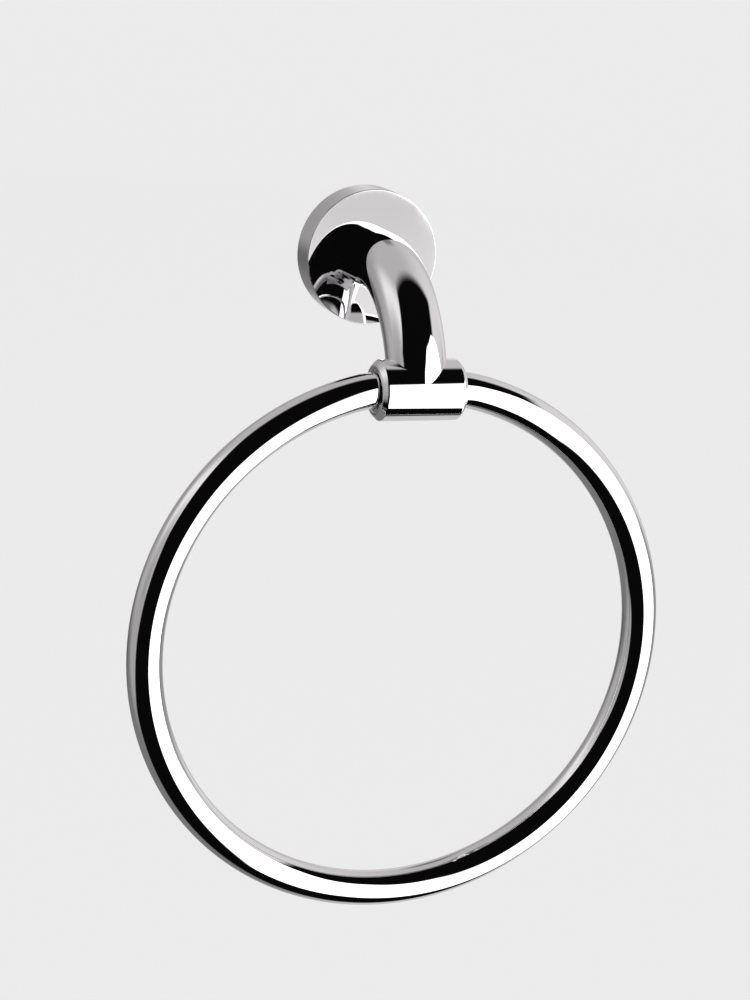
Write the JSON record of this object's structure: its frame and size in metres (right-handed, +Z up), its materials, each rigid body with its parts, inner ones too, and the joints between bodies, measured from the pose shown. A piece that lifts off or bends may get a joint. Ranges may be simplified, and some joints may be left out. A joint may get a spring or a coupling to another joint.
{
  "type": "towel ring",
  "caption": "Wall-fixed towel ring: a round chrome ring that swings in a short barrel at the end of a curved arm on a round flange.",
  "frame": {"origin": "centre of the fixing's flat back, on the wall plane", "axes": "+Y into the wall, +Z up, +X to the right seen from the room; the ring hangs in a plane parallel to X and Z"},
  "size_m": [0.19, 0.0722, 0.2414],
  "materials": {
    "polished_chrome": "mirror-polished chrome plate on brass",
    "zinc_plated_steel": "satin zinc plate",
    "stainless_steel": "plain machined steel",
    "nylon": "natural nylon",
    "bare_brass": "turned brass"
  },
  "bodies": {
    "wall_fixing": {"wall_bracket": "zinc_plated_steel", "flange_cover": "polished_chrome", "cover_grub_screw": "stainless_steel", "arm_with_barrel": "polished_chrome", "arm_screw": "stainless_steel", "arm_spring_washer": "zinc_plated_steel", "arm_washer": "zinc_plated_steel", "locating_pin": "stainless_steel", "barrel_bush_left": "nylon", "barrel_bush_right": "nylon"},
    "ring": {"ring_tube": "polished_chrome", "ring_closing_pin": "bare_brass"}
  },
  "joints": [
    {"name": "ring_swing", "type": "hinge", "parent": "wall_fixing", "child": "ring", "pos_m": [0, -0.06204, -0.03542], "axis": [-1, 0, 0], "range_deg": [-18, 198]}
  ]
}
